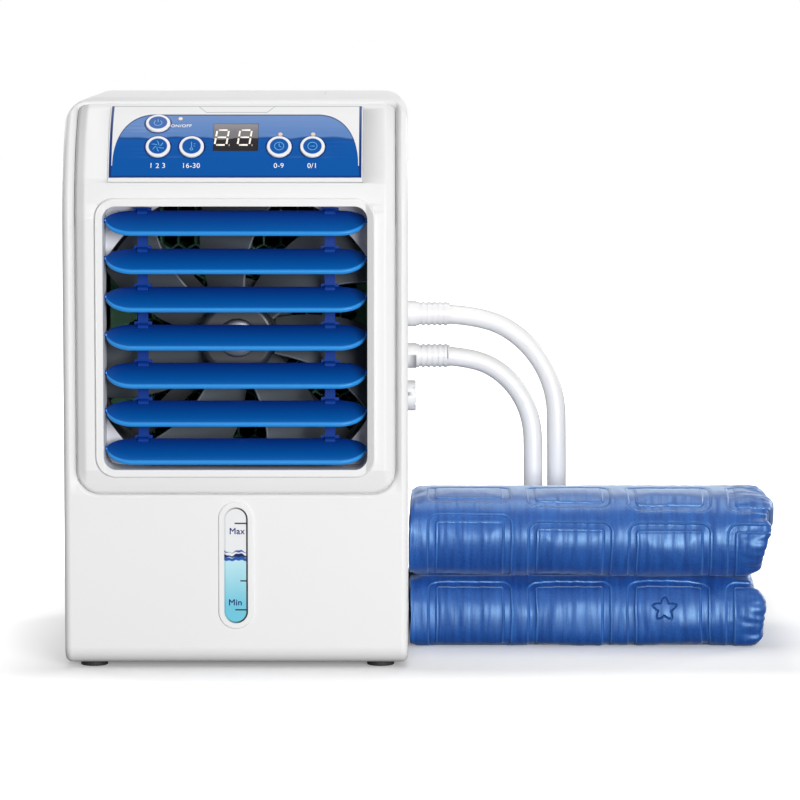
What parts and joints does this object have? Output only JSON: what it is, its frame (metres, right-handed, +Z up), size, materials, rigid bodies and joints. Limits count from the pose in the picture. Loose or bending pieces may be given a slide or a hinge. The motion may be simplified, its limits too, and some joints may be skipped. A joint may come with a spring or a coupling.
{
  "type": "water cooling mattress pad",
  "caption": "Desktop water cooler with a curved brow, key panel, slatted air outlet and level window, joined by two hoses to a folded quilted cooling pad.",
  "frame": {"origin": "on the floor, under the middle of the cooler's casing", "axes": "+X to the cooler's right as seen from the front, +Y to its back, +Z up"},
  "size_m": [0.42, 0.3575, 0.331],
  "materials": {
    "white_shell": "smooth satin moulded ABS",
    "grey_inner": "plain dark moulding",
    "blue_slat": "glossy translucent blue moulding",
    "blue_bar": "blue moulding",
    "panel_film": "printed film, blue on white",
    "smoked_lens": "smoked window",
    "key_cap": "white ring with a blue printed middle",
    "board": "green circuit board",
    "light_guide": "clear guide",
    "clear_window": "clear tinted window",
    "clear_tank": "translucent blue moulding",
    "rotor": "dark grey moulding",
    "steel": "ground steel",
    "bright_cap": "turned aluminium",
    "motor_can": "black enamel",
    "curtain": "green impregnated cellulose",
    "black_plastic": "fine texture",
    "rubber": "soft foot rubber",
    "filter": "grey filter mesh",
    "pad_cloth": "satin coated blue cloth",
    "white_fitting": "plain white moulding",
    "hose": "milky soft tube"
  },
  "bodies": {
    "cooler": {"main_housing": "white_shell", "front_bezel": "white_shell", "rear_cover": "white_shell", "base_pan": "white_fitting", "rubber_feet": "rubber", "housing_screws": "steel", "louver_frame": "white_shell", "control_fascia": "panel_film", "display_module": "black_plastic", "display_lens": "smoked_lens", "control_board": "board", "tact_switches": "black_plastic", "indicator_lights": "light_guide", "level_window": "clear_window", "fan_duct": "grey_inner", "motor_bracket": "grey_inner", "fan_motor": "motor_can", "cooling_curtain": "curtain", "drip_tray": "white_fitting", "ion_generator": "black_plastic", "water_tank": "clear_tank", "pump_body": "black_plastic", "pump_cover": "black_plastic", "pump_riser": "clear_tank", "hose_ports": "white_fitting", "drain_port": "white_fitting", "hose_cuffs": "white_fitting", "power_inlet": "black_plastic", "lid_hinge_pin": "steel", "pad_upper_fold": "pad_cloth", "pad_lower_fold": "pad_cloth", "pad_fittings": "white_fitting", "hose_supply_lead": "hose", "hose_supply_coil": "hose", "hose_supply_tail": "hose", "hose_return_lead": "hose", "hose_return_coil": "hose", "hose_return_tail": "hose"},
    "fan": {"fan_rotor": "rotor", "fan_hub_cap": "bright_cap", "fan_shaft": "steel"},
    "door": {"filter_door": "white_shell", "dust_filter": "filter"},
    "lid": {"fill_lid": "white_shell"},
    "plug": {"drain_plug": "white_fitting"},
    "impeller": {"pump_impeller": "black_plastic"},
    "slat_1": {"slat_1": "blue_slat"},
    "slat_2": {"slat_2": "blue_slat"},
    "slat_3": {"slat_3": "blue_slat"},
    "slat_4": {"slat_4": "blue_slat"},
    "slat_5": {"slat_5": "blue_slat"},
    "slat_6": {"slat_6": "blue_slat"},
    "slat_7": {"slat_7": "blue_slat"},
    "link_bar_left": {"link_bar_left": "blue_bar"},
    "link_bar_right": {"link_bar_right": "blue_bar"},
    "power_key": {"power_key": "key_cap"},
    "fan_speed_key": {"fan_speed_key": "key_cap"},
    "thermostat_key": {"thermostat_key": "key_cap"},
    "timer_key": {"timer_key": "key_cap"},
    "ion_key": {"ion_key": "key_cap"}
  },
  "joints": [
    {"name": "slat_1_tilt", "type": "hinge", "parent": "cooler", "child": "slat_1", "pos_m": [0, -0.1045, 0.26105], "axis": [1, 0, 0], "range_deg": [-76, 12]},
    {"name": "slat_2_tilt", "type": "hinge", "parent": "cooler", "child": "slat_2", "pos_m": [0, -0.1045, 0.23885], "axis": [1, 0, 0], "range_deg": [-76, 12]},
    {"name": "slat_3_tilt", "type": "hinge", "parent": "cooler", "child": "slat_3", "pos_m": [0, -0.1045, 0.21665], "axis": [1, 0, 0], "range_deg": [-76, 12]},
    {"name": "slat_4_tilt", "type": "hinge", "parent": "cooler", "child": "slat_4", "pos_m": [0, -0.1045, 0.19445], "axis": [1, 0, 0], "range_deg": [-76, 12]},
    {"name": "slat_5_tilt", "type": "hinge", "parent": "cooler", "child": "slat_5", "pos_m": [0, -0.1045, 0.17225], "axis": [1, 0, 0], "range_deg": [-76, 12]},
    {"name": "slat_6_tilt", "type": "hinge", "parent": "cooler", "child": "slat_6", "pos_m": [0, -0.1045, 0.15005], "axis": [1, 0, 0], "range_deg": [-76, 12]},
    {"name": "slat_7_tilt", "type": "hinge", "parent": "cooler", "child": "slat_7", "pos_m": [0, -0.1045, 0.12785], "axis": [1, 0, 0], "range_deg": [-76, 12]},
    {"name": "link_bar_left_hinge", "type": "hinge", "parent": "slat_1", "child": "link_bar_left", "pos_m": [-0.0545, -0.0993, 0.26511], "axis": [1, 0, 0], "range_deg": [-12, 76]},
    {"name": "link_bar_right_hinge", "type": "hinge", "parent": "slat_1", "child": "link_bar_right", "pos_m": [0.0545, -0.0993, 0.26511], "axis": [1, 0, 0], "range_deg": [-12, 76]},
    {"name": "fan_spin", "type": "hinge", "parent": "cooler", "child": "fan", "pos_m": [0, -0.0705, 0.191], "axis": [0, 1, 0], "continuous": true},
    {"name": "impeller_spin", "type": "hinge", "parent": "cooler", "child": "impeller", "pos_m": [0.066, 0.072, 0.019], "axis": [0, 0, 1], "continuous": true},
    {"name": "power_key_press", "type": "slide", "parent": "cooler", "child": "power_key", "axis": [0, 0.6401, -0.7683], "range_m": [0, 0.0006], "stiffness_N_per_m": 1500, "springref_m": -0.0003},
    {"name": "fan_speed_key_press", "type": "slide", "parent": "cooler", "child": "fan_speed_key", "axis": [0, 0.8039, -0.5948], "range_m": [0, 0.0006], "stiffness_N_per_m": 1500, "springref_m": -0.0003},
    {"name": "thermostat_key_press", "type": "slide", "parent": "cooler", "child": "thermostat_key", "axis": [0, 0.8039, -0.5948], "range_m": [0, 0.0006], "stiffness_N_per_m": 1500, "springref_m": -0.0003},
    {"name": "timer_key_press", "type": "slide", "parent": "cooler", "child": "timer_key", "axis": [0, 0.8039, -0.5948], "range_m": [0, 0.0006], "stiffness_N_per_m": 1500, "springref_m": -0.0003},
    {"name": "ion_key_press", "type": "slide", "parent": "cooler", "child": "ion_key", "axis": [0, 0.8039, -0.5948], "range_m": [0, 0.0006], "stiffness_N_per_m": 1500, "springref_m": -0.0003},
    {"name": "lid_hinge", "type": "hinge", "parent": "cooler", "child": "lid", "pos_m": [0, 0.076, 0.3286], "axis": [-1, 0, 0], "range_deg": [0, 100]},
    {"name": "door_slide", "type": "slide", "parent": "cooler", "child": "door", "axis": [0, 1, 0], "range_m": [0, 0.08]},
    {"name": "plug_slide", "type": "slide", "parent": "cooler", "child": "plug", "axis": [1, 0, 0], "range_m": [0, 0.025]}
  ],
  "couplings": [
    {"joint": "slat_2_tilt", "follows": "slat_1_tilt", "ratio": 1},
    {"joint": "slat_3_tilt", "follows": "slat_1_tilt", "ratio": 1},
    {"joint": "slat_4_tilt", "follows": "slat_1_tilt", "ratio": 1},
    {"joint": "slat_5_tilt", "follows": "slat_1_tilt", "ratio": 1},
    {"joint": "slat_6_tilt", "follows": "slat_1_tilt", "ratio": 1},
    {"joint": "slat_7_tilt", "follows": "slat_1_tilt", "ratio": 1},
    {"joint": "link_bar_left_hinge", "follows": "slat_1_tilt", "ratio": -1},
    {"joint": "link_bar_right_hinge", "follows": "slat_1_tilt", "ratio": -1}
  ]
}
